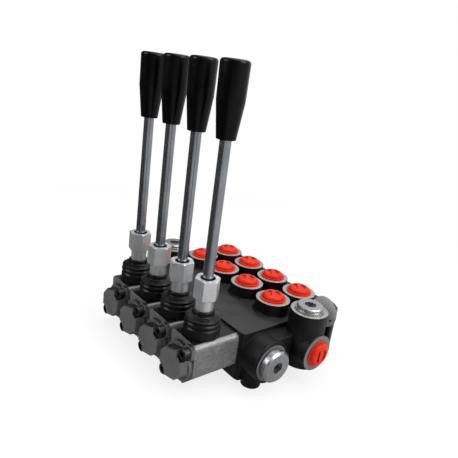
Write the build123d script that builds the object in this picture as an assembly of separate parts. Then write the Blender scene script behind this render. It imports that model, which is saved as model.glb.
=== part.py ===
from build123d import *
import os
from math import cos, radians, sin, sqrt

os.makedirs("parts", exist_ok=True)

# Millimetres. X runs along the row of spools towards the inlet end, the levers
# stand on the -Y side and Z is up. The origin is the middle of the four feet, on
# the face they stand on.

OVER = 1.0              # cutting tools run past a face by this much
CLEAR = 0.05            # running clearance on a radius, and round threads and studs

# Row of working sections
SECTIONS = 4
PITCH = 38.0
SPOOL_X = [PITCH * ((SECTIONS - 1) / 2 - k) for k in range(SECTIONS)]
ROW_END = SPOOL_X[0] + PITCH / 2

# Cast body
BODY_FRONT = -60.4
BODY_REAR = 57.0
BODY_BOTTOM = 5.0
DECK_Z = 51.5
SPOOL_Z = 28.5
END_MARGIN = 23.0       # from the last spool to the end of the deck
CAST_ROUND = 3.0
PAD_PROUD = 0.6         # machined pads stand proud of the casting
SHELF_DROP = 4.5
UNDERCUT = 12.6         # the end blocks stop this far above the body's underside
REAR_CORE_IN = 12.6     # from the rear pad to the rearmost chamber
DECK_END = SPOOL_X[0] + END_MARGIN
END_BLOCK_TOP = DECK_Z - SHELF_DROP
END_BLOCK_BOTTOM = BODY_BOTTOM + UNDERCUT
FRONT_PAD = BODY_FRONT - PAD_PROUD
REAR_PAD = BODY_REAR + PAD_PROUD

# Work ports, in two rows on the deck
ROW_Y = 11.0
ROW_GAP = 36.0
FRONT_ROW = ROW_Y - ROW_GAP / 2
REAR_ROW = ROW_Y + ROW_GAP / 2
PORT_BOSS_H = 12.5
PORT_BOSS_R = 16.3
PORT_BOSS_FILLET = 2.6
PORT_BORE_R = 9.5
PORT_DEPTH = 15.0
PORT_CHAMFER = 1.2
PASSAGE_R = 4.5
PORT_Z = DECK_Z + PORT_BOSS_H

# Inlet, outlet and gallery ports
GALLERY_BOSS_R = 17.0
GALLERY_R = 6.5
TOWER_STEP = 38.0       # from the first spool to the inlet tower
TOWER_H = 17.7
TOP_PORT_Z = DECK_Z + TOWER_H
INLET_X = SPOOL_X[0] + TOWER_STEP
INLET_Y = 1.0
INLET_RISE = 5.5
INLET_Z = SPOOL_Z + INLET_RISE
SIDE_PORT_X = INLET_X + GALLERY_BOSS_R + PAD_PROUD
TANK_Y = -41.0
TANK_Z = SPOOL_Z
TANK_BULGE = 2.6        # the casting round the tank port's machined ring
TANK_BULGE_R = GALLERY_BOSS_R + TANK_BULGE
TANK_FACE_OUT = 3.5
TANK_FACE_X = INLET_X + TANK_FACE_OUT
OUTLET_TOP_IN = 0.3
OUTLET_TOP_X = OUTLET_TOP_IN - DECK_END
OUTLET_TOP_Y = -32.0
FAR_BLOCK = 16.0
FAR_BOSS = 3.0
FAR_BLOCK_X = -(DECK_END + FAR_BLOCK)
FAR_FACE_X = FAR_BLOCK_X - FAR_BOSS

# Blind boss with a machined face, behind the inlet tower
DISC_Z = DECK_Z + 10.5
DISC_R = 14.6
DISC_FRONT = INLET_Y + 22.0
DISC_BACK_R = 5.6
DISC_DEPTH = 13.0
DISC_HOLE_R = 1.1
DISC_HOLE_DEPTH = 3.0
DISC_HOLE_IN = 4.3      # the hole's distance inside the boss's edge
DISC_HOLE_ANGLE = -31.0
WEDGE_X = INLET_X + 12.0    # the end block's rear corner is cut off from here
WEDGE_BACK_X = DECK_END + 7.5

# Relief valve, bored along Y into the far end block from behind
RELIEF_X = -(DECK_END + 9.5)
RELIEF_Z = INLET_Z
RELIEF_R = 12.9
RELIEF_FRONT = INLET_Y + 16.0
RELIEF_BORE_R = 7.5
RELIEF_BORE_DEPTH = 27.0
RELIEF_SHANK = 22.0
RELIEF_HEX = 22.0
RELIEF_HEX_H = 8.0
RELIEF_BARREL_R = 8.5
RELIEF_BARREL_END = 16.0
RELIEF_NUT = 13.0
RELIEF_NUT_H = 5.0
RELIEF_SCREW_R = 4.0
RELIEF_SCREW_IN = 7.0
RELIEF_SCREW_OUT = 5.0
RELIEF_EDGE = 0.5
RELIEF_KEY = 4.0
RELIEF_KEY_DEPTH = 3.0

# Feet
FOOT_R = 9.0
FOOT_OUT = 2.5
FOOT_X = DECK_END + FOOT_OUT
FOOT_Y = 46.0
FOOT_HOLE_R = 3.4       # M8 tapping size
FOOT_HOLE_DEPTH = 16.0

# Lever pivot. The ball end runs in a socket across the spool.
LEVER_IN = 17.5         # from the housing's front end to the lever
PIVOT_RISE = 22.0
HOUSING_LEN = 45.5
HOUSING_END = FRONT_PAD - HOUSING_LEN
LEVER_Y = HOUSING_END + LEVER_IN
PIVOT_Z = SPOOL_Z + PIVOT_RISE
BALL_R = 9.0
TOE_R = 4.0
TOE_PLAY = 0.12
TOE_MOUTH_R = 7.0
ARM_R = 2.3
ARM_TOP_R = 4.0

# Spools, with the cored chambers that they open and close
SPOOL_R = 8.0
SPOOL_NOSE = 10.0
SPOOL_FRONT = LEVER_Y - SPOOL_NOSE
SPOOL_LAND = 3.0
SPOOL_WAIST_DEPTH = 2.4
CORE_DEPTH = 3.0
CORE_W = 5.0
REAR_CORE_Y = REAR_PAD - REAR_CORE_IN
CORES = [TANK_Y, FRONT_ROW, INLET_Y, REAR_ROW, REAR_CORE_Y]
WAISTS = [(TANK_Y, FRONT_ROW), (INLET_Y, REAR_ROW), (REAR_ROW, REAR_CORE_Y)]
SPOOL_COLLAR_OUT = 6.2
SPOOL_COLLAR_Y = REAR_PAD + SPOOL_COLLAR_OUT
SPOOL_COLLAR_STEP = 3.5
SPOOL_COLLAR_R = SPOOL_R + SPOOL_COLLAR_STEP
SPOOL_COLLAR_W = 2.0
SPOOL_TAIL_R = 5.0
SPOOL_TAIL_LEN = 8.0
SEAL_STEP = 3.5
SEAL_R = SPOOL_R + SEAL_STEP
SEAL_W = 3.0

# Lever housings and their end caps, in line with the spools
HOUSING_GAP = 2.0       # between neighbours
HOUSING_W = PITCH - HOUSING_GAP
HOUSING_ABOVE = 21.0
HOUSING_BELOW = 20.5
HOUSING_TOP = SPOOL_Z + HOUSING_ABOVE
HOUSING_ROUND = 5.0
HOUSING_CHAMFER = 12.5
HOUSING_BORE_STEP = 2.0
HOUSING_BORE_R = SPOOL_R + HOUSING_BORE_STEP
SCREW_IN = 5.0          # from the housing's side to its screw
SCREW_UP = 14.7
RIM_WALL = 4.0
RIM_RISE = 7.5
RIM_R = BALL_R + RIM_WALL
RIM_TOP = PIVOT_Z + RIM_RISE
ARM_WELL_R = 7.5
RETAINER_WALL = 1.0
RETAINER_R = BALL_R + RETAINER_WALL
RETAINER_RISE = 1.5
RETAINER_LIP = 4.5
RETAINER_Z = PIVOT_Z + RETAINER_RISE
CAP_FLANGE = 3.5
CAP_LEN = 11.5
CAP_FLANGE_R = 17.0
CAP_LUG_R = 6.6
CAP_SIDE_IN = 2.8       # the cap's nose stays this far inside the housing's side
CAP_SIDE_TOP = 11.0
CAP_SIDE_LOW = 4.2
CAP_TOP = 16.4
CAP_TOP_IN = 10.0
CAP_LOW = 12.4
CAP_LOW_IN = 10.8
CAP_CORNER = 2.0
CAP_EDGE = 0.8
CAP_HOLLOW = 3.0
CAP_SEAT = HOUSING_END - CAP_FLANGE
CAP_FRONT = HOUSING_END - CAP_LEN

# M6 socket head screws
M6_R = 3.0
M6_CLEARANCE_R = 3.3
M6_HEAD_R = 5.0
M6_HEAD = 6.0
M6_EDGE = 0.5
M6_SOCKET = 5.0
M6_SOCKET_DEPTH = 3.0
M6_HOLD = 12.0
SCREW_NOTCH_GAP = 1.2
SCREW_NOTCH_R = M6_HEAD_R + SCREW_NOTCH_GAP

# Lever above the housing
NECK_R = 7.5
NECK_GAP = 2.5
NECK_LEN = 20.6
NECK_BOTTOM = PIVOT_Z + BALL_R + NECK_GAP
STUD_NECK_R = 5.2
STUD_R = 4.0
HEX_BOTTOM = NECK_BOTTOM + NECK_LEN
HEX_H = 17.4
HEX_TOP = HEX_BOTTOM + HEX_H
HEX_FLATS = 19.0
HEX_EDGE = 0.9
HEX_MOUTH_R = 6.4
HEX_MOUTH_DEPTH = 4.0
HEX_TURNS = [9.0, -23.0, 6.0, -14.0]   # each sleeve stands as its thread ran up
STUD_IN = 10.0
STUD_TOP = HEX_TOP - STUD_IN
ROD_R = 4.5
ROD_EDGE = 0.6
ROD_SHOWING = 111.5
KNOB_H = 56.0
KNOB_NECK_H = 28.0
KNOB_BOTTOM = HEX_TOP + ROD_SHOWING
KNOB_NECK_R = 7.5
KNOB_SHOULDER_R = 10.8
KNOB_TOP_R = 11.2
KNOB_ROUND = 2.6
KNOB_EDGE = 0.8
KNOB_SOCKET = 30.0

# Rubber boot, from the housing's top to the sleeve's neck
BOOT_SKIRT = 2.9
BOOT_R = RIM_R + BOOT_SKIRT
BOOT_RISE = 10.2
BOOT_TOP = NECK_BOTTOM + BOOT_RISE
BOOT_GROOVES = 2
BOOT_GROOVE_Z = 9.9
BOOT_GROOVE_STEP = 4.2
BOOT_GROOVE_W = 2.0
BOOT_GROOVE_FLOOR = 0.6
BOOT_GROOVE_DEPTH = 1.3
BOOT_SHOULDER = 1.6
BOOT_CONE = 2.4
BOOT_WALL = 1.4
BOOT_LIP = 4.2

# Spring caps on the back
SPRING_CAP_FLANGE = 8.0
SPRING_CAP_LEN = 26.0
SPRING_CAP_ROUND = 5.5
SPRING_CAP_GAP = 1.1
SPRING_CAP_BORE_R = SPOOL_COLLAR_R + SPRING_CAP_GAP
SPRING_CAP_WALL = 2.9
SPRING_CAP_END = 3.5
SPRING_CAP_R = SPRING_CAP_BORE_R + SPRING_CAP_WALL
SPRING_SEAT_Y = REAR_PAD + SPRING_CAP_LEN - SPRING_CAP_END
SPRING_WIRE_R = 0.9
SPRING_IN = 1.0
SPRING_R = SPOOL_COLLAR_R - SPRING_WIRE_R - SPRING_IN
SPRING_TURNS = 4

# Transport plugs in the open ports
PLUG_STEP = 2.9
PLUG_R = PORT_BORE_R + PLUG_STEP
PLUG_FLANGE = 1.3
PLUG_CAP_STEP = 1.0
PLUG_CAP_R = PORT_BORE_R + PLUG_CAP_STEP
PLUG_CAP_H = 3.7
PLUG_CAP_ROUND = 3.0
PLUG_POCKET_IN = 4.2
PLUG_POCKET_R = PLUG_CAP_R - PLUG_POCKET_IN
PLUG_POCKET = 1.2
PLUG_RIB = 4.0
PLUG_TURN = -40.0
PLUG_SHANK = 10.0
PLUG_WALL = 2.0

# Steel plugs: a flat one in each top port, a thick one at each gallery's end
STEEL_SHANK = 12.0
FLAT_PLUG_STEP = 3.8
FLAT_PLUG_R = PORT_BORE_R + FLAT_PLUG_STEP
FLAT_PLUG_FLANGE = 2.0
FLAT_PLUG_HEAD_STEP = 2.4
FLAT_PLUG_HEAD_R = PORT_BORE_R + FLAT_PLUG_HEAD_STEP
FLAT_PLUG_HEAD = 2.9
FLAT_PLUG_EDGE = 0.8
FLAT_PLUG_SOCKET = 10.0
FLAT_PLUG_SOCKET_DEPTH = 6.0
GALLERY_PLUG_SEAL_STEP = 3.9
GALLERY_PLUG_SEAL_R = PORT_BORE_R + GALLERY_PLUG_SEAL_STEP
GALLERY_PLUG_SEAL = 1.2
GALLERY_PLUG_STEP = 5.3
GALLERY_PLUG_R = PORT_BORE_R + GALLERY_PLUG_STEP
GALLERY_PLUG_HEAD = 6.8
GALLERY_PLUG_EDGE = 1.8
GALLERY_PLUG_SOCKET = 10.0
GALLERY_PLUG_SOCKET_DEPTH = 8.0


def y_cylinder(radius, y0, y1, x=0.0, z=0.0):
    middle = Pos(x, (y0 + y1) / 2, z) * Rot(90, 0, 0)
    return middle * Cylinder(radius, abs(y1 - y0))


def x_cylinder(radius, x0, x1, y=0.0, z=0.0):
    middle = Pos((x0 + x1) / 2, y, z) * Rot(0, 90, 0)
    return middle * Cylinder(radius, abs(x1 - x0))


def z_cylinder(radius, z0, z1, x=0.0, y=0.0):
    return Pos(x, y, (z0 + z1) / 2) * Cylinder(radius, abs(z1 - z0))


def block(x0, x1, y0, y1, z0, z1):
    middle = Pos((x0 + x1) / 2, (y0 + y1) / 2, (z0 + z1) / 2)
    return middle * Box(abs(x1 - x0), abs(y1 - y0), abs(z1 - z0))


def turned(points, x=0.0, y=0.0, z=0.0):
    """Solid turned about a vertical axis from (radius, height) points."""
    outline = Plane.XZ * make_face(Polyline(*points, close=True))
    return Pos(x, y, z) * revolve(outline, Axis.Z)


def prism_along_y(points, y0, y1, x=0.0, z=0.0):
    """Solid of an (x, z) outline carried from y0 to y1."""
    outline = make_face(Polyline(*points, close=True))
    plane = Plane(origin=(x, max(y0, y1), z), x_dir=(1, 0, 0), z_dir=(0, -1, 0))
    return extrude(plane * outline, abs(y1 - y0))


def hex_prism(flats, z0, z1):
    return Pos(0, 0, z0) * extrude(RegularPolygon(flats / sqrt(3), 6), z1 - z0)


def end_circles(shape, axis, which):
    """Circular edges at the low (0) or high (-1) end of a round solid."""
    return shape.edges().filter_by(GeomType.CIRCLE).group_by(axis)[which]


def place_x(shape, x, y, z, direction=1):
    """Stand a shape built along +Z on an end face, pointing along +X or -X."""
    return Pos(x, y, z) * Rot(0, direction * 90, 0) * shape


def place_y(shape, x, y, z, direction=1):
    """Stand a shape built along +Z on the front or back, pointing along +Y or -Y."""
    return Pos(x, y, z) * Rot(-direction * 90, 0, 0) * shape


def screw_spots(x):
    """The two screws of a section stand on one diagonal."""
    across = HOUSING_W / 2 - SCREW_IN
    return [(x + across, SPOOL_Z + SCREW_UP), (x - across, SPOOL_Z - SCREW_UP)]


def foot_spots():
    return [(x, y) for x in (-FOOT_X, FOOT_X) for y in (-FOOT_Y, FOOT_Y)]


# Cast body

def port_boss(x, y):
    """Upright boss of a work port, with the cast fillet where it leaves the deck."""
    size = PORT_BOSS_FILLET
    side = make_face([
        Line((0, -OVER), (PORT_BOSS_R + size, -OVER)),
        Line((PORT_BOSS_R + size, -OVER), (PORT_BOSS_R + size, 0)),
        RadiusArc((PORT_BOSS_R + size, 0), (PORT_BOSS_R, size), size),
        Line((PORT_BOSS_R, size), (PORT_BOSS_R, PORT_BOSS_H)),
        Line((PORT_BOSS_R, PORT_BOSS_H), (0, PORT_BOSS_H)),
        Line((0, PORT_BOSS_H), (0, -OVER)),
    ])
    return Pos(x, y, DECK_Z) * revolve(Plane.XZ * side, Axis.Z)


def upright_port(z_face, passage_to, x, y):
    """Tapped port from the top: mouth chamfer, thread bore and drilled passage."""
    floor = z_face - PORT_DEPTH
    mouth = PORT_BORE_R + PORT_CHAMFER
    points = [(0, passage_to), (PASSAGE_R, passage_to), (PASSAGE_R, floor), (PORT_BORE_R, floor),
              (PORT_BORE_R, z_face - PORT_CHAMFER), (mouth, z_face), (mouth, z_face + OVER),
              (0, z_face + OVER)]
    return turned(points, x, y)


def side_port(x_face, direction, y, z):
    """Tapped port from an end face, as deep as an upright one."""
    bore = z_cylinder(PORT_BORE_R, -PORT_DEPTH, OVER)
    mouth = turned([(0, -PORT_CHAMFER), (PORT_BORE_R, -PORT_CHAMFER),
                    (PORT_BORE_R + PORT_CHAMFER, 0), (0, 0)])
    return place_x(bore + mouth, x_face, y, z, direction)


def casting():
    inner = SPOOL_X[0]
    core = block(-DECK_END, DECK_END, BODY_FRONT, BODY_REAR, BODY_BOTTOM, DECK_Z)
    core = fillet(core.edges().filter_by(Axis.Z), CAST_ROUND)
    shelf = block(inner, INLET_X, TANK_Y, DISC_FRONT + CAST_ROUND, END_BLOCK_BOTTOM, END_BLOCK_TOP)
    front, rear = DISC_FRONT + PAD_PROUD, BODY_REAR - PAD_PROUD
    plan = make_face(Polyline((inner, front), (WEDGE_X, front), (WEDGE_BACK_X, rear), (inner, rear),
                              close=True))
    wedge = Pos(0, 0, END_BLOCK_BOTTOM) * extrude(plan, DISC_Z - DISC_R / 2 - END_BLOCK_BOTTOM)
    wedge = fillet(wedge.edges().filter_by(Axis.Z), CAST_ROUND)
    disc = turned([(0, 0), (DISC_R, 0), (DISC_BACK_R, DISC_DEPTH), (0, DISC_DEPTH)])
    web = block(DECK_END - CAST_ROUND, INLET_X, INLET_Y, DISC_FRONT + CAST_ROUND,
                END_BLOCK_BOTTOM, DISC_Z)
    far = block(FAR_BLOCK_X, -inner, TANK_Y, BODY_REAR - CAST_ROUND, END_BLOCK_BOTTOM, END_BLOCK_TOP)
    far = fillet(far.edges().filter_by(Axis.Z), CAST_ROUND)
    pieces = [
        shelf, wedge, web, far,
        place_y(disc, INLET_X, DISC_FRONT, DISC_Z),
        y_cylinder(RELIEF_R, RELIEF_FRONT, BODY_REAR, RELIEF_X, RELIEF_Z),
        x_cylinder(TANK_BULGE_R, inner, TANK_FACE_X - PAD_PROUD, TANK_Y, TANK_Z),
        x_cylinder(GALLERY_BOSS_R, inner, TANK_FACE_X, TANK_Y, TANK_Z),
        z_cylinder(GALLERY_BOSS_R, END_BLOCK_BOTTOM, TOP_PORT_Z, INLET_X, INLET_Y),
        x_cylinder(GALLERY_BOSS_R, inner, SIDE_PORT_X, INLET_Y, INLET_Z),
        x_cylinder(TANK_BULGE_R, FAR_BLOCK_X - PAD_PROUD, -inner, TANK_Y, TANK_Z),
        x_cylinder(GALLERY_BOSS_R, FAR_FACE_X, -inner, TANK_Y, TANK_Z),
        x_cylinder(GALLERY_BOSS_R, FAR_FACE_X, -inner, INLET_Y, INLET_Z),
        z_cylinder(GALLERY_BOSS_R, TANK_Z, TOP_PORT_Z, OUTLET_TOP_X, OUTLET_TOP_Y),
        block(-ROW_END, ROW_END, FRONT_PAD, BODY_FRONT + OVER, BODY_BOTTOM, DECK_Z),
        block(-ROW_END, ROW_END, BODY_REAR - OVER, REAR_PAD, BODY_BOTTOM, DECK_Z),
    ]
    pieces += [z_cylinder(FOOT_R, 0, SPOOL_Z, x, y) for x, y in foot_spots()]
    pieces += [port_boss(x, y) for x in SPOOL_X for y in (FRONT_ROW, REAR_ROW)]
    return core + pieces


def valve_body():
    angle = radians(DISC_HOLE_ANGLE)
    offset = DISC_R - DISC_HOLE_IN
    relief_floor = BODY_REAR - RELIEF_BORE_DEPTH
    cuts = [
        upright_port(TOP_PORT_Z, INLET_Z, INLET_X, INLET_Y),
        upright_port(TOP_PORT_Z, TANK_Z, OUTLET_TOP_X, OUTLET_TOP_Y),
        side_port(SIDE_PORT_X, 1, INLET_Y, INLET_Z),
        side_port(TANK_FACE_X, 1, TANK_Y, TANK_Z),
        side_port(FAR_FACE_X, -1, INLET_Y, INLET_Z),
        side_port(FAR_FACE_X, -1, TANK_Y, TANK_Z),
        x_cylinder(GALLERY_R, FAR_FACE_X + OVER, SIDE_PORT_X - OVER, INLET_Y, INLET_Z),
        x_cylinder(GALLERY_R, FAR_FACE_X + OVER, TANK_FACE_X - OVER, TANK_Y, TANK_Z),
        y_cylinder(RELIEF_BORE_R, relief_floor, BODY_REAR + OVER, RELIEF_X, RELIEF_Z),
        y_cylinder(PASSAGE_R, INLET_Y + OVER, relief_floor + OVER, RELIEF_X, RELIEF_Z + OVER),
        y_cylinder(DISC_HOLE_R, DISC_FRONT - OVER, DISC_FRONT + DISC_HOLE_DEPTH,
                   INLET_X + offset * cos(angle), DISC_Z + offset * sin(angle)),
    ]
    cuts += [z_cylinder(FOOT_HOLE_R, -OVER, FOOT_HOLE_DEPTH, x, y) for x, y in foot_spots()]
    for x in SPOOL_X:
        cuts.append(y_cylinder(SPOOL_R + CLEAR, FRONT_PAD - OVER, REAR_PAD + OVER, x, SPOOL_Z))
        cuts.append(y_cylinder(SEAL_R, FRONT_PAD - OVER, FRONT_PAD + SEAL_W, x, SPOOL_Z))
        cuts.append(y_cylinder(SEAL_R, REAR_PAD - SEAL_W, REAR_PAD + OVER, x, SPOOL_Z))
        for y in CORES:
            cuts.append(y_cylinder(SPOOL_R + CORE_DEPTH, y - CORE_W / 2, y + CORE_W / 2, x, SPOOL_Z))
        for y in (FRONT_ROW, REAR_ROW):
            cuts.append(upright_port(PORT_Z, SPOOL_Z, x, y))
        for screw_x, screw_z in screw_spots(x):
            hole = M6_R + CLEAR
            cuts.append(y_cylinder(hole, FRONT_PAD - OVER, FRONT_PAD + M6_HOLD, screw_x, screw_z))
            cuts.append(y_cylinder(hole, REAR_PAD - M6_HOLD, REAR_PAD + OVER, screw_x, screw_z))
    return casting() - cuts


# Spools, their springs and seals

def spool(x):
    collar_end = SPOOL_COLLAR_Y + SPOOL_COLLAR_W
    shape = y_cylinder(SPOOL_R, SPOOL_FRONT, SPOOL_COLLAR_Y, x, SPOOL_Z)
    shape += y_cylinder(SPOOL_COLLAR_R, SPOOL_COLLAR_Y, collar_end, x, SPOOL_Z)
    shape += y_cylinder(SPOOL_TAIL_R, SPOOL_COLLAR_Y, collar_end + SPOOL_TAIL_LEN, x, SPOOL_Z)
    cuts = []
    reach = CORE_W / 2 + SPOOL_LAND
    for y0, y1 in WAISTS:
        waist = y_cylinder(SPOOL_R + OVER, y0 + reach, y1 - reach, x, SPOOL_Z)
        stem = y_cylinder(SPOOL_R - SPOOL_WAIST_DEPTH, y0, y1, x, SPOOL_Z)
        cuts.append(waist - stem)
    bore = TOE_R + TOE_PLAY
    socket = [(0, -bore), (bore, -bore), (bore, TOE_R), (TOE_MOUTH_R, SPOOL_R + OVER),
              (0, SPOOL_R + OVER)]
    cuts.append(turned(socket, x, LEVER_Y, SPOOL_Z))
    return shape - cuts


def centring_spring(x):
    """Plain helix between the spool's collar and the end of the spring cap."""
    start = SPOOL_COLLAR_Y + SPOOL_COLLAR_W + SPRING_WIRE_R + CLEAR
    length = SPRING_SEAT_Y - SPRING_WIRE_R - CLEAR - start
    path = Helix(length / SPRING_TURNS, length, SPRING_R)
    profile = Plane(origin=path @ 0, z_dir=path % 0) * Circle(SPRING_WIRE_R)
    return place_y(sweep(profile, path=path), x, start, SPOOL_Z)


def spool_seals():
    seal = z_cylinder(SEAL_R - CLEAR, 0, SEAL_W) - z_cylinder(SPOOL_R + CLEAR, 0, SEAL_W)
    return [place_y(seal, x, y, SPOOL_Z) for x in SPOOL_X for y in (FRONT_PAD, REAR_PAD - SEAL_W)]


# Lever housings, end caps and the screws through both

def point_symmetric(points):
    return points + [(-x, -z) for x, z in points]


def lever_housing(x):
    half = HOUSING_W / 2
    outline = [(-half, HOUSING_ABOVE), (half, HOUSING_ABOVE), (half, HOUSING_CHAMFER - HOUSING_BELOW),
               (half - HOUSING_CHAMFER, -HOUSING_BELOW), (-half, -HOUSING_BELOW)]
    shape = prism_along_y(outline, FRONT_PAD, HOUSING_END, x, SPOOL_Z)
    shape = fillet(shape.edges().filter_by(Axis.Y).group_by(Axis.Z)[-1], HOUSING_ROUND)
    shape += z_cylinder(RIM_R, HOUSING_TOP - OVER, RIM_TOP, x, LEVER_Y)
    cuts = [
        y_cylinder(HOUSING_BORE_R, FRONT_PAD + OVER, HOUSING_END - OVER, x, SPOOL_Z),
        z_cylinder(ARM_WELL_R, SPOOL_Z, PIVOT_Z, x, LEVER_Y),
        Pos(x, LEVER_Y, PIVOT_Z) * Sphere(BALL_R + CLEAR),
        z_cylinder(RETAINER_R, RETAINER_Z, RIM_TOP + OVER, x, LEVER_Y),
    ]
    for screw_x, screw_z in screw_spots(x):
        cuts.append(y_cylinder(M6_CLEARANCE_R, FRONT_PAD + OVER, HOUSING_END - OVER, screw_x, screw_z))
    return shape - cuts


def ball_retainer(x):
    """Threaded ring over the ball, its mouth opened upwards for the lever's swing."""
    ball = BALL_R + CLEAR
    lip = sqrt(ball ** 2 - RETAINER_LIP ** 2)
    mouth = lip + RIM_TOP - PIVOT_Z - RETAINER_LIP
    shape = z_cylinder(RETAINER_R - CLEAR, RETAINER_RISE, RIM_TOP - PIVOT_Z)
    cone = turned([(0, RETAINER_LIP), (lip, RETAINER_LIP), (mouth, RIM_TOP - PIVOT_Z),
                   (mouth, RIM_TOP - PIVOT_Z + OVER), (0, RIM_TOP - PIVOT_Z + OVER)])
    return Pos(x, LEVER_Y, PIVOT_Z) * (shape - [cone, Sphere(ball)])


def cap_flange(y0, y1, x):
    """Round flange with a lug for each screw."""
    lugs = [y_cylinder(CAP_LUG_R, y0, y1, sx, sz) for sx, sz in screw_spots(x)]
    inside = block(x - HOUSING_W / 2, x + HOUSING_W / 2, y0, y1,
                   SPOOL_Z - HOUSING_BELOW, SPOOL_Z + HOUSING_ABOVE)
    return (y_cylinder(CAP_FLANGE_R, y0, y1, x, SPOOL_Z) + lugs) & inside


def end_cap(x):
    half = HOUSING_W / 2
    side = half - CAP_SIDE_IN
    outline = point_symmetric([(half - CAP_TOP_IN, CAP_TOP), (side, CAP_SIDE_TOP),
                               (side, -CAP_SIDE_LOW), (half - CAP_LOW_IN, -CAP_LOW)])
    nose = prism_along_y(outline, CAP_SEAT, CAP_FRONT, x, SPOOL_Z)
    nose = fillet(nose.edges().filter_by(Axis.Y), CAP_CORNER)
    spots = screw_spots(x)
    nose -= [y_cylinder(SCREW_NOTCH_R, CAP_SEAT, CAP_FRONT - OVER, sx, sz) for sx, sz in spots]
    nose = chamfer(nose.faces().sort_by(Axis.Y)[0].edges(), CAP_EDGE)
    cuts = [y_cylinder(M6_CLEARANCE_R, HOUSING_END + OVER, CAP_FRONT, sx, sz) for sx, sz in spots]
    cuts.append(y_cylinder(HOUSING_BORE_R, HOUSING_END + OVER, CAP_SEAT - CAP_HOLLOW, x, SPOOL_Z))
    return cap_flange(HOUSING_END, CAP_SEAT, x) + nose - cuts


def socket_screw(length):
    """M6 socket head screw, built along +Z with the head's seat at the origin."""
    shape = z_cylinder(M6_R, -length, 0) + z_cylinder(M6_HEAD_R, 0, M6_HEAD)
    shape = chamfer(end_circles(shape, Axis.Z, -1), M6_EDGE)
    return shape - hex_prism(M6_SOCKET, M6_HEAD - M6_SOCKET_DEPTH, M6_HEAD + OVER)


def housing_screws():
    screw = socket_screw(CAP_FLANGE + HOUSING_LEN + M6_HOLD)
    return [place_y(screw, x, CAP_SEAT, z, -1) for spot in SPOOL_X for x, z in screw_spots(spot)]


def spring_cap_screws():
    screw = socket_screw(SPRING_CAP_FLANGE + M6_HOLD)
    y = REAR_PAD + SPRING_CAP_FLANGE
    return [place_y(screw, x, y, z) for spot in SPOOL_X for x, z in screw_spots(spot)]


# Levers

def lever_stem(x):
    """Ball lever: toe in the spool, ball in the housing, threaded stud up into the sleeve."""
    toe = SPOOL_Z - PIVOT_Z
    neck = NECK_BOTTOM - PIVOT_Z
    top = STUD_TOP - PIVOT_Z
    shape = turned([(0, toe), (ARM_R, toe), (ARM_R, toe + SPOOL_R), (ARM_TOP_R, OVER - BALL_R),
                    (ARM_TOP_R, 0), (STUD_NECK_R, 0), (STUD_NECK_R, neck), (STUD_R, neck),
                    (STUD_R, top), (0, top)])
    return Pos(x, LEVER_Y, PIVOT_Z) * (shape + [Sphere(BALL_R), Pos(0, 0, toe) * Sphere(TOE_R)])


def hex_sleeve(x):
    corner = HEX_FLATS / sqrt(3)
    shape = hex_prism(HEX_FLATS, HEX_BOTTOM, HEX_TOP) + z_cylinder(NECK_R, NECK_BOTTOM, HEX_BOTTOM)
    top = turned([(corner - HEX_EDGE, HEX_TOP), (corner + HEX_EDGE, HEX_TOP - HEX_EDGE),
                  (corner + HEX_EDGE, HEX_TOP + OVER), (corner - HEX_EDGE, HEX_TOP + OVER)])
    low = turned([(corner - HEX_EDGE, HEX_BOTTOM), (corner + HEX_EDGE, HEX_BOTTOM + HEX_EDGE),
                  (corner + HEX_EDGE, HEX_BOTTOM - OVER), (corner - HEX_EDGE, HEX_BOTTOM - OVER)])
    mouth = HEX_TOP - HEX_MOUTH_DEPTH
    stud = STUD_R + CLEAR
    rod = ROD_R + CLEAR
    bore = turned([(0, NECK_BOTTOM - OVER), (stud, NECK_BOTTOM - OVER), (stud, STUD_TOP),
                   (rod, STUD_TOP), (rod, mouth), (HEX_MOUTH_R, mouth), (HEX_MOUTH_R, HEX_TOP + OVER),
                   (0, HEX_TOP + OVER)])
    turn = HEX_TURNS[SPOOL_X.index(x)]
    return Pos(x, LEVER_Y, 0) * Rot(0, 0, turn) * (shape - [top, low, bore])


def lever_rod(x):
    shape = z_cylinder(ROD_R, STUD_TOP, KNOB_BOTTOM + KNOB_SOCKET)
    shape = chamfer(shape.edges().filter_by(GeomType.CIRCLE), ROD_EDGE)
    return Pos(x, LEVER_Y, 0) * shape


def knob(x):
    shape = turned([(0, 0), (KNOB_NECK_R, 0), (KNOB_SHOULDER_R, KNOB_NECK_H), (KNOB_TOP_R, KNOB_H),
                    (0, KNOB_H)])
    shape = fillet(end_circles(shape, Axis.Z, -1), KNOB_ROUND)
    shape = fillet(end_circles(shape, Axis.Z, 0), KNOB_EDGE)
    shape -= z_cylinder(ROD_R + CLEAR, -OVER, KNOB_SOCKET)
    return Pos(x, LEVER_Y, KNOB_BOTTOM) * shape


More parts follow.
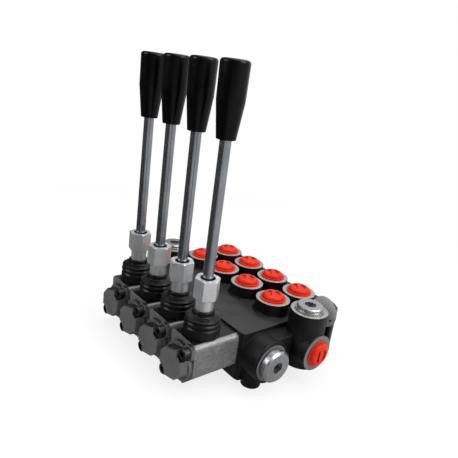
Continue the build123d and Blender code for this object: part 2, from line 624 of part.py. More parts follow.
def boot(x):
    """Bellows boot: skirt round the housing's rim, folds, a cone and a lip on the sleeve."""
    fold = BOOT_R - BOOT_GROOVE_DEPTH
    outer = [(BOOT_R, 0)]
    for k in range(BOOT_GROOVES):
        groove = BOOT_GROOVE_Z + k * BOOT_GROOVE_STEP
        outer += [(BOOT_R, groove - BOOT_GROOVE_W / 2), (fold, groove - BOOT_GROOVE_FLOOR / 2),
                  (fold, groove + BOOT_GROOVE_FLOOR / 2), (BOOT_R, groove + BOOT_GROOVE_W / 2)]
    top = BOOT_TOP - HOUSING_TOP
    lip = NECK_R + CLEAR
    rim = RIM_R + CLEAR
    shoulder = top - BOOT_LIP - BOOT_CONE
    outer += [(BOOT_R, shoulder - BOOT_SHOULDER / 2), (fold, shoulder + BOOT_SHOULDER / 2),
              (lip + BOOT_WALL, top - BOOT_LIP), (lip + BOOT_WALL, top)]
    inner = [(lip, top), (lip, top - BOOT_LIP), (rim, shoulder - BOOT_SHOULDER / 2), (rim, 0)]
    return turned(outer + inner, x, LEVER_Y, HOUSING_TOP)


# Spring caps on the back

def spring_cap(x):
    seat = REAR_PAD + SPRING_CAP_FLANGE
    end = REAR_PAD + SPRING_CAP_LEN
    barrel = y_cylinder(SPRING_CAP_R, REAR_PAD, end, x, SPOOL_Z)
    barrel = fillet(end_circles(barrel, Axis.Y, -1), SPRING_CAP_ROUND)
    cuts = [y_cylinder(SPRING_CAP_BORE_R, REAR_PAD - OVER, SPRING_SEAT_Y, x, SPOOL_Z)]
    for sx, sz in screw_spots(x):
        cuts.append(y_cylinder(M6_CLEARANCE_R, REAR_PAD - OVER, seat + OVER, sx, sz))
        cuts.append(y_cylinder(SCREW_NOTCH_R, seat, end, sx, sz))
    return cap_flange(REAR_PAD, seat, x) + barrel - cuts


# Plugs

def port_plug():
    """Transport plug, built along +Z from the port's face: shank, flange, cap and a finger rib."""
    top = PLUG_FLANGE + PLUG_CAP_H
    shank = PORT_BORE_R - CLEAR
    shape = z_cylinder(shank, -PLUG_SHANK, 0) - z_cylinder(shank - PLUG_WALL, -PLUG_SHANK, -PLUG_WALL)
    shape += z_cylinder(PLUG_R, 0, PLUG_FLANGE)
    cap = z_cylinder(PLUG_CAP_R, PLUG_FLANGE, top)
    cap = fillet(end_circles(cap, Axis.Z, -1), PLUG_CAP_ROUND)
    pocket = z_cylinder(PLUG_POCKET_R, top - PLUG_POCKET, top + OVER)
    rib = block(-PLUG_CAP_R, PLUG_CAP_R, -PLUG_RIB / 2, PLUG_RIB / 2, 0, top + OVER)
    return shape + (cap - (pocket - rib))


def work_port_plugs(y):
    return [Pos(x, y, PORT_Z) * Rot(0, 0, PLUG_TURN) * port_plug() for x in SPOOL_X]


def end_port_plugs():
    return [place_x(port_plug(), SIDE_PORT_X, INLET_Y, INLET_Z),
            place_x(port_plug(), FAR_FACE_X, TANK_Y, TANK_Z, -1)]


def steel_plug(flange_r, flange_h, head_r, head_h, edge, socket, socket_depth):
    """Zinc-plated plug built along +Z from the port's face: shank, flange, head and hex socket."""
    top = flange_h + head_h
    head = z_cylinder(head_r, flange_h, top)
    head = chamfer(end_circles(head, Axis.Z, -1), edge)
    shape = z_cylinder(PORT_BORE_R - CLEAR, -STEEL_SHANK, 0) + z_cylinder(flange_r, 0, flange_h)
    return shape + head - hex_prism(socket, top - socket_depth, top + OVER)


def upright_steel_plug(x, y):
    return Pos(x, y, TOP_PORT_Z) * steel_plug(
        FLAT_PLUG_R, FLAT_PLUG_FLANGE, FLAT_PLUG_HEAD_R, FLAT_PLUG_HEAD, FLAT_PLUG_EDGE,
        FLAT_PLUG_SOCKET, FLAT_PLUG_SOCKET_DEPTH)


def gallery_steel_plug():
    return steel_plug(GALLERY_PLUG_SEAL_R, GALLERY_PLUG_SEAL, GALLERY_PLUG_R, GALLERY_PLUG_HEAD,
                      GALLERY_PLUG_EDGE, GALLERY_PLUG_SOCKET, GALLERY_PLUG_SOCKET_DEPTH)


# Relief valve

def relief_cartridge():
    shape = z_cylinder(RELIEF_BORE_R - CLEAR, -RELIEF_SHANK, 0) + hex_prism(RELIEF_HEX, 0, RELIEF_HEX_H)
    shape += z_cylinder(RELIEF_BARREL_R, RELIEF_HEX_H, RELIEF_BARREL_END)
    shape -= z_cylinder(RELIEF_SCREW_R + CLEAR, RELIEF_BARREL_END - RELIEF_SCREW_IN, RELIEF_BARREL_END)
    return place_y(shape, RELIEF_X, BODY_REAR, RELIEF_Z)


def relief_lock_nut():
    top = RELIEF_BARREL_END + RELIEF_NUT_H
    shape = hex_prism(RELIEF_NUT, RELIEF_BARREL_END, top)
    shape -= z_cylinder(RELIEF_SCREW_R + CLEAR, RELIEF_BARREL_END - OVER, top + OVER)
    return place_y(shape, RELIEF_X, BODY_REAR, RELIEF_Z)


def relief_adjuster():
    top = RELIEF_BARREL_END + RELIEF_NUT_H + RELIEF_SCREW_OUT
    shape = z_cylinder(RELIEF_SCREW_R, RELIEF_BARREL_END - RELIEF_SCREW_IN, top)
    shape = chamfer(end_circles(shape, Axis.Z, -1), RELIEF_EDGE)
    shape -= hex_prism(RELIEF_KEY, top - RELIEF_KEY_DEPTH, top + OVER)
    return place_y(shape, RELIEF_X, BODY_REAR, RELIEF_Z)


def write(name, shape):
    """A node with several loose pieces is written as one compound."""
    if isinstance(shape, list):
        shape = Compound(children=shape)
    export_step(shape, "parts/" + name + ".step")


PER_SECTION = {
    "lever_housing": lever_housing,
    "end_cap": end_cap,
    "spool": spool,
    "lever_stem": lever_stem,
    "ball_retainer": ball_retainer,
    "hex_sleeve": hex_sleeve,
    "lever_rod": lever_rod,
    "knob": knob,
    "boot": boot,
    "spring_cap": spring_cap,
    "centring_spring": centring_spring,
}

write("valve_body", valve_body())
for name, build in PER_SECTION.items():
    for number, x in enumerate(SPOOL_X, start=1):
        write(f"{name}_{number}", build(x))
write("spool_seals", spool_seals())
write("housing_screws", housing_screws())
write("spring_cap_screws", spring_cap_screws())
write("port_plugs_front", work_port_plugs(FRONT_ROW))
write("port_plugs_back", work_port_plugs(REAR_ROW))
write("end_port_plugs", end_port_plugs())
write("inlet_top_plug", upright_steel_plug(INLET_X, INLET_Y))
write("outlet_top_plug", upright_steel_plug(OUTLET_TOP_X, OUTLET_TOP_Y))
write("tank_gallery_plug", place_x(gallery_steel_plug(), TANK_FACE_X, TANK_Y, TANK_Z))
write("inlet_gallery_plug", place_x(gallery_steel_plug(), FAR_FACE_X, INLET_Y, INLET_Z, -1))
write("relief_cartridge", relief_cartridge())
write("relief_lock_nut", relief_lock_nut())
write("relief_adjuster", relief_adjuster())
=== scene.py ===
import bpy
import bmesh
from math import radians
from mathutils import Matrix, Vector


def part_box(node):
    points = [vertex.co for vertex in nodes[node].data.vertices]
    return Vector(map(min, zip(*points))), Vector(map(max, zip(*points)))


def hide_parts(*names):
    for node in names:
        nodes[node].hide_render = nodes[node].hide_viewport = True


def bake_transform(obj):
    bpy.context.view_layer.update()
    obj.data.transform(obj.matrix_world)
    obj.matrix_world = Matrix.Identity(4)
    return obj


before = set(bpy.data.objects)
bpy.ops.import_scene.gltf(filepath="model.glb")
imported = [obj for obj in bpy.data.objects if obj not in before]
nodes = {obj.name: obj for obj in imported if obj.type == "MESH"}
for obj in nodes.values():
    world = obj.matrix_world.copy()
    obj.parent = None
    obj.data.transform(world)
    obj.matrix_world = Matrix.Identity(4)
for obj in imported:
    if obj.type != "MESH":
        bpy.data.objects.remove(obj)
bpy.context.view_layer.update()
sections = (1, 2, 3, 4)
mm = 0.001
print("frame loaded with", len(nodes), "nodes")


# Helpers for shader nodes: a value is a constant or another node's output

def feed(tree, value, socket):
    if isinstance(value, bpy.types.NodeSocket):
        tree.links.new(value, socket)
    elif value is not None:
        socket.default_value = value


def build(tree, kind, feeds=None, **settings):
    node = tree.nodes.new(kind)
    for name, value in settings.items():
        setattr(node, name, value)
    for name, value in (feeds or {}).items():
        feed(tree, value, node.inputs[name])
    return node


def calculate(tree, operation, *values, clamp=False):
    node = build(tree, "ShaderNodeMath", dict(enumerate(values)),
                 operation=operation, use_clamp=clamp)
    return node.outputs["Value"]


def measure(tree, operation, *vectors):
    node = build(tree, "ShaderNodeVectorMath", dict(enumerate(vectors)), operation=operation)
    return node.outputs["Value"]


def split(tree, vector):
    return build(tree, "ShaderNodeSeparateXYZ", {"Vector": vector}).outputs


def blendValue(tree, mask, low, high):
    node = build(tree, "ShaderNodeMapRange", {"Value": mask, "To Min": low, "To Max": high})
    return node.outputs["Result"]


def sharpen(tree, value, low, high):
    node = build(tree, "ShaderNodeMapRange", {"Value": value, "From Min": low, "From Max": high},
                 interpolation_type="SMOOTHSTEP")
    return node.outputs["Result"]


# The Mix node's sockets 2 and 3 take numbers, 6 and 7 colours
def mixValue(tree, mask, first, second):
    node = build(tree, "ShaderNodeMix", {"Factor": mask, 2: first, 3: second})
    return node.outputs[0]


def blendColour(tree, mask, first, second):
    node = build(tree, "ShaderNodeMix", {"Factor": mask, 6: first, 7: second}, data_type="RGBA")
    return node.outputs[2]


def newGroup(name, inputs, outputs):
    group = bpy.data.node_groups.new(name, "ShaderNodeTree")
    for direction, sockets in (("INPUT", inputs), ("OUTPUT", outputs)):
        for label, kind in sockets.items():
            group.interface.new_socket(name=label, in_out=direction,
                                       socket_type="NodeSocket" + kind)
    given = group.nodes.new("NodeGroupInput").outputs
    result = group.nodes.new("NodeGroupOutput").inputs
    return group, given, result


def useGroup(tree, group, **feeds):
    return build(tree, "ShaderNodeGroup", feeds, node_tree=group).outputs


# Paint or plating rubbed off the edges, in broken patches
wearSetting = {
    "samples": 4,
    "edges": (0.01, 0.12),  # how far an edge turns before it shows, and shows fully
    "noise": {"Detail": 5.0}, "patches": (0.35, 0.70),
}


def makeEdgeWear():
    look = wearSetting
    group, given, result = newGroup(
        "edgeWear", {"Radius": "Float", "Amount": "Float", "PatchScale": "Float"},
        {"Wear": "Float"})
    rounded = build(group, "ShaderNodeBevel", {"Radius": given["Radius"]},
                    samples=look["samples"])
    surface = build(group, "ShaderNodeNewGeometry")
    facing = measure(group, "DOT_PRODUCT", rounded.outputs["Normal"], surface.outputs["Normal"])
    edge = sharpen(group, calculate(group, "SUBTRACT", 1.0, facing), *look["edges"])
    spot = build(group, "ShaderNodeTexCoord").outputs["Object"]
    noise = build(group, "ShaderNodeTexNoise",
                  {"Vector": spot, "Scale": given["PatchScale"], **look["noise"]})
    patches = sharpen(group, noise.outputs["Fac"], *look["patches"])
    worn = calculate(group, "MULTIPLY", edge, patches)
    feed(group, calculate(group, "MULTIPLY", worn, given["Amount"], clamp=True), result["Wear"])
    return group


# Grain and pits of a cast, plated or moulded skin, and broad patches for its colour
grainSetting = {
    "grain": {"Detail": 6.0, "Roughness": 0.55}, "pits": (0.05, 0.35),
    "broad": {"Scale": 45.0, "Detail": 4.0, "Distortion": 0.4}, "patches": (0.30, 0.70),
}


def makeSurfaceGrain():
    look = grainSetting
    group, given, result = newGroup(
        "surfaceGrain", {"Scale": "Float", "Pits": "Float"},
        {"Height": "Float", "Patch": "Float"})
    spot = build(group, "ShaderNodeTexCoord").outputs["Object"]
    grain = build(group, "ShaderNodeTexNoise",
                  {"Vector": spot, "Scale": given["Scale"], **look["grain"]})
    cells = build(group, "ShaderNodeTexVoronoi", {"Vector": spot, "Scale": given["Scale"]})
    pits = sharpen(group, cells.outputs["Distance"], *look["pits"])
    depth = calculate(group, "MULTIPLY", calculate(group, "SUBTRACT", 1.0, pits), given["Pits"])
    feed(group, calculate(group, "SUBTRACT", grain.outputs["Fac"], depth), result["Height"])
    broad = build(group, "ShaderNodeTexNoise", {"Vector": spot, **look["broad"]})
    feed(group, sharpen(group, broad.outputs["Fac"], *look["patches"]), result["Patch"])
    return group


# Lines left by brushing, drawing or turning, and smudges of handling
brushSetting = {
    "lines": {"Scale": 1.0, "Detail": 3.0}, "lineBand": (0.30, 0.70),
    "smudges": {"Scale": 90.0, "Detail": 3.0, "Distortion": 0.8}, "smudgeBand": (0.35, 0.70),
}


def makeBrushLines():
    look = brushSetting
    group, given, result = newGroup(
        "brushLines", {"Stretch": "Vector"}, {"Lines": "Float", "Smudge": "Float"})
    spot = build(group, "ShaderNodeTexCoord").outputs["Object"]
    stretched = build(group, "ShaderNodeVectorMath", {0: spot, 1: given["Stretch"]},
                      operation="MULTIPLY")
    lines = build(group, "ShaderNodeTexNoise",
                  {"Vector": stretched.outputs["Vector"], **look["lines"]})
    feed(group, sharpen(group, lines.outputs["Fac"], *look["lineBand"]), result["Lines"])
    smudges = build(group, "ShaderNodeTexNoise", {"Vector": spot, **look["smudges"]})
    feed(group, sharpen(group, smudges.outputs["Fac"], *look["smudgeBand"]), result["Smudge"])
    return group


# Mask of a flat face: its place along an axis, and how squarely it faces along it
flatSetting = {"reach": 0.08 * mm, "square": 0.97}


def makeFlatFace():
    group, given, result = newGroup(
        "machinedFlat", {"Along": "Float", "Facing": "Float", "Place": "Float"},
        {"Mask": "Float"})
    away = calculate(group, "ABSOLUTE",
                     calculate(group, "SUBTRACT", given["Along"], given["Place"]))
    near = calculate(group, "LESS_THAN", away, flatSetting["reach"])
    square = calculate(group, "GREATER_THAN", given["Facing"], flatSetting["square"])
    feed(group, calculate(group, "MULTIPLY", near, square), result["Mask"])
    return group


edgeWear = makeEdgeWear()
surfaceGrain = makeSurfaceGrain()
brushLines = makeBrushLines()
machinedFlat = makeFlatFace()


def newMaterial(name, **values):
    material = bpy.data.materials.new(name)
    material.use_nodes = True
    tree = material.node_tree
    shader = tree.nodes["Principled BSDF"]
    for label, value in values.items():
        shader.inputs[label.replace("_", " ")].default_value = value
    return material, tree, shader


def addBump(tree, shader, height, strength, depth, normal=None):
    bump = build(tree, "ShaderNodeBump",
                 {"Height": height, "Strength": strength, "Distance": depth, "Normal": normal})
    feed(tree, bump.outputs["Normal"], shader.inputs["Normal"])


# Cast body: satin black paint, brushed metal on the ports' rims, plain metal on the ends
# and the boss. Each face is named by where it lies, in metres along the way it faces.
bodyFinish = {
    "paint": (0.0030, 0.0032, 0.0036, 1), "paintPale": (0.0078, 0.0080, 0.0088, 1),
    # The deck's tones are painted light: the face that looks up is made lighter than the flanks
    "deck": (0.021, 0.021, 0.0215, 1), "deckPale": (0.034, 0.034, 0.0345, 1),
    "worn": (0.085, 0.085, 0.09, 1), "pad": (0.017, 0.017, 0.018, 1),
    "metal": (0.40, 0.395, 0.385, 1), "metalDull": (0.27, 0.267, 0.26, 1),
    "side": (0.13, 0.13, 0.128, 1), "disc": (0.48, 0.48, 0.485, 1),
    "specular": 0.18, "rimMetallic": 0.6,
    "paintRough": (0.38, 0.52), "metalRough": (0.38, 0.50),
    "grain": 1100.0, "pits": 0.5, "stretch": (2600.0, 300.0, 2600.0),
    "wearRadius": 0.8 * mm, "wear": 0.5, "wearPatches": 420.0,
    "round": 1.3 * mm, "roundSamples": 6, "bump": 0.5, "bumpDepth": 0.16 * mm,
    "rimFaces": (0.064, 0.0692), "rightFaces": (0.1126, 0.0985), "leftFace": 0.099,
    "padFace": 0.061, "rearFace": 0.0576, "discFace": -0.023, "deckFace": 0.0515,
}


def makeBodyMaterial():
    look = bodyFinish
    material, tree, shader = newMaterial("castPaint", Specular_IOR_Level=look["specular"])
    places = build(tree, "ShaderNodeTexCoord").outputs
    spot = split(tree, places["Object"])
    facing = split(tree, places["Normal"])
    frontward = calculate(tree, "MULTIPLY", spot["Y"], -1.0)
    frontFacing = calculate(tree, "MULTIPLY", facing["Y"], -1.0)
    leftward = calculate(tree, "MULTIPLY", spot["X"], -1.0)
    leftFacing = calculate(tree, "MULTIPLY", facing["X"], -1.0)

    def flat(along, face, place):
        return useGroup(tree, machinedFlat, Along=along, Facing=face, Place=place)["Mask"]

    def either(*masks):
        joined = masks[0]
        for mask in masks[1:]:
            joined = calculate(tree, "MAXIMUM", joined, mask)
        return joined

    rims = either(*[flat(spot["Z"], facing["Z"], place) for place in look["rimFaces"]])
    ends = either(*[flat(spot["X"], facing["X"], place) for place in look["rightFaces"]],
                  flat(leftward, leftFacing, look["leftFace"]))
    disc = flat(frontward, frontFacing, look["discFace"])
    pads = either(flat(frontward, frontFacing, look["padFace"]),
                  flat(spot["Y"], facing["Y"], look["rearFace"]))
    deck = flat(spot["Z"], facing["Z"], look["deckFace"])
    bare = either(rims, ends, disc)
    grain = useGroup(tree, surfaceGrain, Scale=look["grain"], Pits=look["pits"])
    wear = useGroup(tree, edgeWear, Radius=look["wearRadius"], Amount=look["wear"],
                    PatchScale=look["wearPatches"])["Wear"]
    lines = useGroup(tree, brushLines, Stretch=look["stretch"])

    paint = blendColour(tree, grain["Patch"], look["paint"], look["paintPale"])
    deckPaint = blendColour(tree, grain["Patch"], look["deck"], look["deckPale"])
    metal = blendColour(tree, lines["Lines"], look["metalDull"], look["metal"])
    # Painted light: the deck face takes a lighter tone than the flanks
    colour = blendColour(tree, deck, paint, deckPaint)
    colour = blendColour(tree, wear, colour, look["worn"])
    colour = blendColour(tree, pads, colour, look["pad"])
    colour = blendColour(tree, rims, colour, metal)
    colour = blendColour(tree, ends, colour, look["side"])
    colour = blendColour(tree, disc, colour, look["disc"])
    feed(tree, colour, shader.inputs["Base Color"])
    feed(tree, calculate(tree, "MULTIPLY", rims, look["rimMetallic"]), shader.inputs["Metallic"])
    paintRough = blendValue(tree, grain["Patch"], *look["paintRough"])
    metalRough = blendValue(tree, lines["Smudge"], *look["metalRough"])
    feed(tree, mixValue(tree, bare, paintRough, metalRough), shader.inputs["Roughness"])
    soft = build(tree, "ShaderNodeBevel", {"Radius": look["round"]},
                 samples=look["roundSamples"])
    painted = calculate(tree, "SUBTRACT", 1.0, bare)
    height = calculate(tree, "MULTIPLY", grain["Height"], painted)
    addBump(tree, shader, height, look["bump"], look["bumpDepth"], soft.outputs["Normal"])
    return material


# Painted shade in recesses such as sockets and slots, darker the deeper they lie
recessShadeSetting = {"samples": 8, "open": (0.15, 0.70)}


def paintRecessShade(tree, plain, look):
    if "recessShade" not in look:
        return plain
    shelter = build(tree, "ShaderNodeAmbientOcclusion", {"Distance": look["recessShadeDepth"]},
                    samples=recessShadeSetting["samples"])
    lit = sharpen(tree, shelter.outputs["AO"], *recessShadeSetting["open"])
    return blendColour(tree, lit, look["recessShade"], plain)


# Metals: dark and light are the surface's two tones, stretch shapes the brush lines, and worn
# shows on rubbed edges. Housings and caps get painted shade: near black on the faces that look up.
metalFinishes = {
    "housingMetal": {
        "dark": (0.105, 0.105, 0.108, 1), "light": (0.225, 0.225, 0.23, 1),
        "worn": (0.55, 0.55, 0.56, 1), "metallic": 0.40, "rough": (0.30, 0.46),
        "stretch": (900.0, 260.0, 900.0), "grain": 1500.0, "pits": 0.5, "wear": 1.0, "bump": 0.24,
        "painted": (0.003, 0.003, 0.0032, 1), "topShadeFrom": (0.93, 0.995)},
    "capMetal": {
        "dark": (0.098, 0.098, 0.10, 1), "light": (0.135, 0.135, 0.137, 1),
        "worn": (0.5, 0.5, 0.51, 1), "metallic": 0.30, "rough": (0.40, 0.56),
        "stretch": (700.0, 700.0, 700.0), "grain": 1700.0, "pits": 0.45, "wear": 1.0, "bump": 0.40,
        "painted": (0.004, 0.004, 0.0045, 1), "topShadeFrom": (0.30, 0.62)},
    "zincPlate": {
        "dark": (0.50, 0.51, 0.525, 1), "light": (0.68, 0.69, 0.70, 1),
        "worn": (0.78, 0.78, 0.78, 1), "metallic": 0.80, "rough": (0.34, 0.48),
        "stretch": (2500.0, 2500.0, 300.0), "grain": 2400.0, "pits": 0.2, "wear": 0.5,
        "bump": 0.24, "recessShade": (0.05, 0.05, 0.052, 1), "recessShadeDepth": 3.5 * mm},
    "plugSteel": {
        "dark": (0.25, 0.255, 0.265, 1), "light": (0.40, 0.405, 0.415, 1),
        "worn": (0.80, 0.80, 0.80, 1), "metallic": 0.90, "rough": (0.24, 0.34),
        "stretch": (1800.0, 1800.0, 1800.0), "grain": 2400.0, "pits": 0.2, "wear": 0.8,
        "bump": 0.06, "recessShade": (0.03, 0.03, 0.032, 1), "recessShadeDepth": 6.0 * mm},
    "rodSteel": {
        "dark": (0.19, 0.20, 0.22, 1), "light": (0.31, 0.325, 0.345, 1),
        "worn": (0.7, 0.7, 0.7, 1), "metallic": 0.95, "rough": (0.20, 0.26),
        "stretch": (5200.0, 5200.0, 35.0), "grain": 2600.0, "pits": 0.0, "wear": 0.1, "bump": 0.06},
    "groundSteel": {
        "dark": (0.42, 0.42, 0.43, 1), "light": (0.56, 0.56, 0.57, 1),
        "worn": (0.7, 0.7, 0.7, 1), "metallic": 1.0, "rough": (0.14, 0.24),
        "stretch": (300.0, 6000.0, 300.0), "grain": 2600.0, "pits": 0.1, "wear": 0.2, "bump": 0.12},
    "springWire": {
        "dark": (0.20, 0.20, 0.21, 1), "light": (0.30, 0.30, 0.31, 1),
        "worn": (0.5, 0.5, 0.5, 1), "metallic": 1.0, "rough": (0.30, 0.42),
        "stretch": (900.0, 900.0, 900.0), "grain": 2600.0, "pits": 0.1, "wear": 0.2, "bump": 0.20},
    "blackOxide": {
        "dark": (0.008, 0.008, 0.009, 1), "light": (0.02, 0.02, 0.022, 1),
        "worn": (0.30, 0.30, 0.30, 1), "metallic": 0.6, "rough": (0.28, 0.42),
        "stretch": (1500.0, 1500.0, 1500.0), "grain": 2600.0, "pits": 0.2, "wear": 0.7,
        "bump": 0.24},
}
metalSetting = {
    "lineTone": 0.6, "patchTone": 0.4, "lineHeight": 0.5,  # shares of lines and patches
    "wearRadius": 0.45 * mm, "wearPatches": 500.0,
    "round": 0.35 * mm, "roundSamples": 4, "bumpDepth": 0.1 * mm,
}


def makeMetal(name):
    look = {**metalSetting, **metalFinishes[name]}
    material, tree, shader = newMaterial(name, Metallic=look["metallic"])
    lines = useGroup(tree, brushLines, Stretch=look["stretch"])
    grain = useGroup(tree, surfaceGrain, Scale=look["grain"], Pits=look["pits"])
    wear = useGroup(tree, edgeWear, Radius=look["wearRadius"], Amount=look["wear"],
                    PatchScale=look["wearPatches"])["Wear"]
    lineTone = calculate(tree, "MULTIPLY", lines["Lines"], look["lineTone"])
    tone = calculate(tree, "MULTIPLY_ADD", grain["Patch"], look["patchTone"], lineTone)
    colour = blendColour(tree, tone, look["dark"], look["light"])
    # Painted shade: the faces that look up are turned near black
    if "painted" in look:
        normal = build(tree, "ShaderNodeTexCoord").outputs["Normal"]
        cover = sharpen(tree, split(tree, normal)["Z"], *look["topShadeFrom"])
        colour = blendColour(tree, cover, colour, look["painted"])
    colour = blendColour(tree, wear, colour, look["worn"])
    # Painted shade in sockets and slots
    feed(tree, paintRecessShade(tree, colour, look), shader.inputs["Base Color"])
    feed(tree, blendValue(tree, lines["Smudge"], *look["rough"]), shader.inputs["Roughness"])
    height = calculate(tree, "MULTIPLY_ADD", lines["Lines"], look["lineHeight"], grain["Height"])
    soft = build(tree, "ShaderNodeBevel", {"Radius": look["round"]},
                 samples=look["roundSamples"])
    addBump(tree, shader, height, look["bump"], look["bumpDepth"], soft.outputs["Normal"])
    return material


# Rubber and plastics, in the same words as the metals
softFinishes = {
    "knobPlastic": {
        "dark": (0.0012, 0.0012, 0.0013, 1), "light": (0.0026, 0.0026, 0.0028, 1),
        "worn": (0.03, 0.03, 0.03, 1), "rough": (0.18, 0.27), "specular": 0.12,
        "grain": 1800.0, "pits": 0.15, "bump": 0.12},
    "bootRubber": {
        "dark": (0.004, 0.004, 0.0043, 1), "light": (0.009, 0.009, 0.0095, 1),
        "worn": (0.045, 0.045, 0.045, 1), "rough": (0.22, 0.33), "specular": 0.15,
        "grain": 1500.0, "pits": 0.3, "bump": 0.10},
    "plugPlastic": {
        "dark": (0.47, 0.016, 0.005, 1), "light": (0.58, 0.026, 0.007, 1),
        "worn": (0.70, 0.06, 0.02, 1), "rough": (0.36, 0.48), "specular": 0.14,
        "grain": 1300.0, "pits": 0.15, "bump": 0.12,
        "recessShade": (0.16, 0.006, 0.003, 1), "recessShadeDepth": 3.0 * mm},
}
softSetting = {
    "stretch": (700.0, 700.0, 700.0), "bumpDepth": 0.2 * mm,
    "wearRadius": 0.5 * mm, "wear": 0.5, "wearPatches": 260.0,
}


def makeSoft(name):
    look = {**softSetting, **softFinishes[name]}
    material, tree, shader = newMaterial(name, Specular_IOR_Level=look["specular"])
    grain = useGroup(tree, surfaceGrain, Scale=look["grain"], Pits=look["pits"])
    lines = useGroup(tree, brushLines, Stretch=look["stretch"])
    wear = useGroup(tree, edgeWear, Radius=look["wearRadius"], Amount=look["wear"],
                    PatchScale=look["wearPatches"])["Wear"]
    colour = blendColour(tree, grain["Patch"], look["dark"], look["light"])
    colour = blendColour(tree, wear, colour, look["worn"])
    # Painted shade in the plugs' pockets
    feed(tree, paintRecessShade(tree, colour, look), shader.inputs["Base Color"])
    feed(tree, blendValue(tree, lines["Smudge"], *look["rough"]), shader.inputs["Roughness"])
    addBump(tree, shader, grain["Height"], look["bump"], look["bumpDepth"])
    return material


materials = {"castPaint": makeBodyMaterial()}
for name in metalFinishes:
    materials[name] = makeMetal(name)
for name in softFinishes:
    materials[name] = makeSoft(name)
print("materials made:", len(materials))


# Which finish each node of the frame wears
perSection = {
    "lever_housing": "housingMetal", "end_cap": "capMetal", "spring_cap": "capMetal",
    "spool": "groundSteel", "lever_stem": "groundSteel", "centring_spring": "springWire",
    "ball_retainer": "zincPlate", "hex_sleeve": "zincPlate", "lever_rod": "rodSteel",
    "knob": "knobPlastic", "boot": "bootRubber",
}
finishOf = {
    "valve_body": "castPaint", "spool_seals": "bootRubber",
    "housing_screws": "blackOxide", "spring_cap_screws": "blackOxide",
    "port_plugs_front": "plugPlastic", "port_plugs_back": "plugPlastic",
    "end_port_plugs": "plugPlastic", "inlet_top_plug": "plugSteel",
    "outlet_top_plug": "plugSteel", "tank_gallery_plug": "plugSteel",
    "inlet_gallery_plug": "plugSteel", "relief_cartridge": "zincPlate",
    "relief_lock_nut": "zincPlate", "relief_adjuster": "blackOxide",
}
for part, finish in perSection.items():
    for k in sections:
        finishOf[f"{part}_{k}"] = finish
for name, finish in finishOf.items():
    mesh = nodes[name].data
    mesh.materials.clear()
    mesh.materials.append(materials[finish])
print("nodes dressed:", len(finishOf))


def makePiece(name, shape, finish):
    bmesh.ops.recalc_face_normals(shape, faces=shape.faces[:])
    mesh = bpy.data.meshes.new(name)
    shape.to_mesh(mesh)
    shape.free()
    mesh.shade_smooth()
    mesh.materials.append(materials[finish])
    piece = bpy.data.objects.new(name, mesh)
    bpy.context.scene.collection.objects.link(piece)
    return piece


# Rubber boots: radius and height of the outline in millimetres, up from the housing's top
bootShape = {
    "outside": [(15.55, 0.0), (15.9, 0.35), (15.9, 7.0), (15.75, 7.9), (15.2, 8.5), (14.6, 9.2),
                (14.6, 10.2), (15.2, 10.8), (15.8, 11.3), (16.0, 12.0), (15.8, 12.7),
                (15.2, 13.2), (14.6, 13.8), (14.6, 14.6), (15.1, 15.1), (15.5, 15.7),
                (15.5, 16.3), (14.9, 16.9), (13.4, 17.4), (11.6, 17.9), (10.2, 18.3),
                (9.5, 18.8), (9.2, 19.5), (9.3, 20.6), (9.55, 21.4), (9.4, 22.2), (8.8, 22.7)],
    "inside": [(7.7, 22.7), (7.58, 22.2), (7.58, 19.2), (8.4, 17.6), (11.0, 16.2), (13.1, 15.0),
               (13.1, 0.0)],
    "steps": 40, "weld": 0.001, "smoothLevels": 2,
    "bendFrom": 8.5, "bendTo": 20.5,
}


def makeBoot(k):
    low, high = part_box(f"boot_{k}")
    centre = (low + high) / 2
    shape = bmesh.new()
    corners = [shape.verts.new((radius * mm, 0, height * mm))
               for radius, height in bootShape["outside"] + bootShape["inside"]]
    edges = [shape.edges.new(pair) for pair in zip(corners, corners[1:] + corners[:1])]
    bmesh.ops.spin(shape, geom=corners + edges, cent=(0, 0, 0), axis=(0, 0, 1),
                   angle=radians(360), steps=bootShape["steps"], use_merge=True,
                   use_duplicate=False)
    bmesh.ops.remove_doubles(shape, verts=shape.verts[:], dist=bootShape["weld"] * mm)
    bmesh.ops.translate(shape, verts=shape.verts[:], vec=(centre.x, centre.y, low.z))
    boot = makePiece(f"bellowsBoot_{k}", shape, "bootRubber")
    smooth = boot.modifiers.new("smooth", "SUBSURF")
    smooth.levels = smooth.render_levels = bootShape["smoothLevels"]
    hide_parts(f"boot_{k}")
    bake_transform(boot)


for k in sections:
    makeBoot(k)
print("boots made")


# Centring springs, built here as one fixed coil; the wire in millimetres
springShape = {"wireRadius": 0.9, "turns": 4, "stepsPerTurn": 36, "wireSides": 14}


def makeSpring(k):
    low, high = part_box(f"centring_spring_{k}")
    centre = (low + high) / 2
    wire = springShape["wireRadius"] * mm
    steps = springShape["turns"] * springShape["stepsPerTurn"]
    rise = (high.y - low.y - 2 * wire) / steps
    shape = bmesh.new()
    begin = Matrix.Translation((centre.x + (high.x - low.x) / 2 - wire, low.y + wire, centre.z))
    bmesh.ops.create_circle(shape, segments=springShape["wireSides"], radius=wire, matrix=begin)
    bmesh.ops.spin(shape, geom=shape.verts[:] + shape.edges[:], cent=centre, axis=(0, 1, 0),
                   dvec=(0, rise, 0), angle=radians(360 * springShape["turns"]), steps=steps)
    bmesh.ops.holes_fill(shape, edges=[edge for edge in shape.edges if edge.is_boundary])
    spring = makePiece(f"coilSpring_{k}", shape, "springWire")
    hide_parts(f"centring_spring_{k}")
    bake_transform(spring)


for k in sections:
    makeSpring(k)
print("springs made")


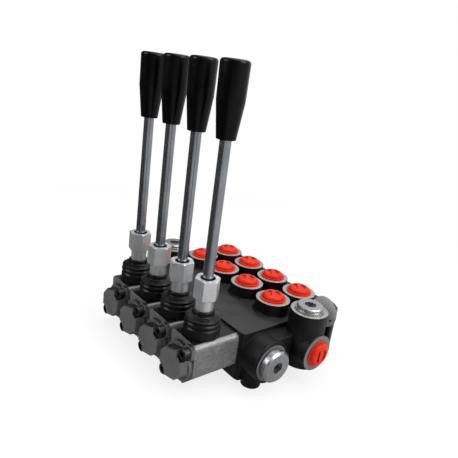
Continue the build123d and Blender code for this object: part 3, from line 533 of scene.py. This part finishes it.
# Camera at the photograph's viewing angle, and three softboxes
cameraSetting = {
    "place": (0.31742, -0.30129, 0.25215), "turn": (71.907, -7.541, 51.322),
    "lens": 35.54, "sensor": 36.0, "clipStart": 0.01,
}
lampSettings = {
    "rightSoftbox": {"place": (0.75, 0.25, 0.75), "size": (0.7, 0.7), "power": 9.5},
    "leftSoftbox": {"place": (-0.35, -0.85, 0.60), "size": (0.5, 0.5), "power": 5.0},
    "topSoftbox": {"place": (0.0, 0.1, 1.1), "size": (0.9, 0.9), "power": 9.0},
}
lampTarget = (0.0, -0.02, 0.05)

camera = bpy.data.objects.new("camera", bpy.data.cameras.new("camera"))
camera.location = cameraSetting["place"]
camera.rotation_euler = [radians(angle) for angle in cameraSetting["turn"]]
camera.data.lens = cameraSetting["lens"]
camera.data.sensor_width = cameraSetting["sensor"]
camera.data.clip_start = cameraSetting["clipStart"]
bpy.context.scene.collection.objects.link(camera)
bpy.context.scene.camera = camera

for name, setting in lampSettings.items():
    lamp = bpy.data.lights.new(name, "AREA")
    lamp.shape = "RECTANGLE"
    lamp.size, lamp.size_y = setting["size"]
    lamp.energy = setting["power"]
    holder = bpy.data.objects.new(name, lamp)
    holder.location = setting["place"]
    aim = Vector(lampTarget) - holder.location
    holder.rotation_euler = aim.to_track_quat("-Z", "Y").to_euler()
    bpy.context.scene.collection.objects.link(holder)


# Floor that fades into white, keeps the shadow, and shows a bright and a dark side in metal
white = (1, 1, 1, 1)
fullWhite = 1.0  # strength at which a white glow renders as white
floorSetting = {
    "size": 8.0, "segments": 4, "colour": (0.82, 0.82, 0.82, 1), "rough": 0.9,
    "shade": 0.80, "fade": (0.25, 0.75),  # share of white at the part, and metres to full white
    "lightSide": (0.85, 0.52, 0.0), "lightBand": (-0.10, 0.30), "mirrored": (0.07, 0.85),
}


def makeFloor():
    look = floorSetting
    shape = bmesh.new()
    bmesh.ops.create_grid(shape, x_segments=look["segments"], y_segments=look["segments"],
                          size=look["size"] / 2)
    mesh = bpy.data.meshes.new("floor")
    shape.to_mesh(mesh)
    shape.free()
    material, tree, shader = newMaterial("paleFloor", Base_Color=look["colour"],
                                         Roughness=look["rough"], Specular_IOR_Level=0.0)
    spot = build(tree, "ShaderNodeTexCoord").outputs["Object"]
    away = sharpen(tree, measure(tree, "LENGTH", spot), *look["fade"])
    shown = blendValue(tree, away, look["shade"], fullWhite)
    side = sharpen(tree, measure(tree, "DOT_PRODUCT", spot, look["lightSide"]),
                   *look["lightBand"])
    mirrored = blendValue(tree, side, *look["mirrored"])
    rays = build(tree, "ShaderNodeLightPath").outputs
    mirrors = calculate(tree, "MAXIMUM", rays["Is Glossy Ray"], rays["Is Transmission Ray"])
    glow = build(tree, "ShaderNodeEmission",
                 {"Color": white, "Strength": mixValue(tree, mirrors, fullWhite, mirrored)})
    seen = calculate(tree, "MULTIPLY", rays["Is Camera Ray"], shown)
    cover = calculate(tree, "MAXIMUM", seen, mirrors)
    mix = build(tree, "ShaderNodeMixShader",
                {0: cover, 1: shader.outputs["BSDF"], 2: glow.outputs["Emission"]})
    feed(tree, mix.outputs["Shader"], tree.nodes["Material Output"].inputs["Surface"])
    mesh.materials.append(material)
    floor = bpy.data.objects.new("floor", mesh)
    bpy.context.scene.collection.objects.link(floor)


# World: white to the camera, dim light on the part, and one bright side in mirrored rays
worldSetting = {
    "ambient": 0.30, "brightSide": (0.45, 0.80, 0.40), "brightBand": (-0.15, 0.60),
    "mirrored": (0.10, 1.0),
}


def makeWorld():
    look = worldSetting
    world = bpy.data.worlds.new("studio")
    world.use_nodes = True
    bpy.context.scene.world = world
    tree = world.node_tree
    rays = build(tree, "ShaderNodeLightPath").outputs
    direction = build(tree, "ShaderNodeTexCoord").outputs["Generated"]
    side = sharpen(tree, measure(tree, "DOT_PRODUCT", direction, look["brightSide"]),
                   *look["brightBand"])
    mirrored = blendValue(tree, side, *look["mirrored"])
    mirrors = calculate(tree, "MAXIMUM", rays["Is Glossy Ray"], rays["Is Transmission Ray"])
    strength = mixValue(tree, mirrors, look["ambient"], mirrored)
    strength = mixValue(tree, rays["Is Camera Ray"], strength, fullWhite)
    background = tree.nodes["Background"]
    feed(tree, white, background.inputs["Color"])
    feed(tree, strength, background.inputs["Strength"])


makeFloor()
makeWorld()
bpy.context.scene.view_settings.view_transform = "Standard"
print("studio set")
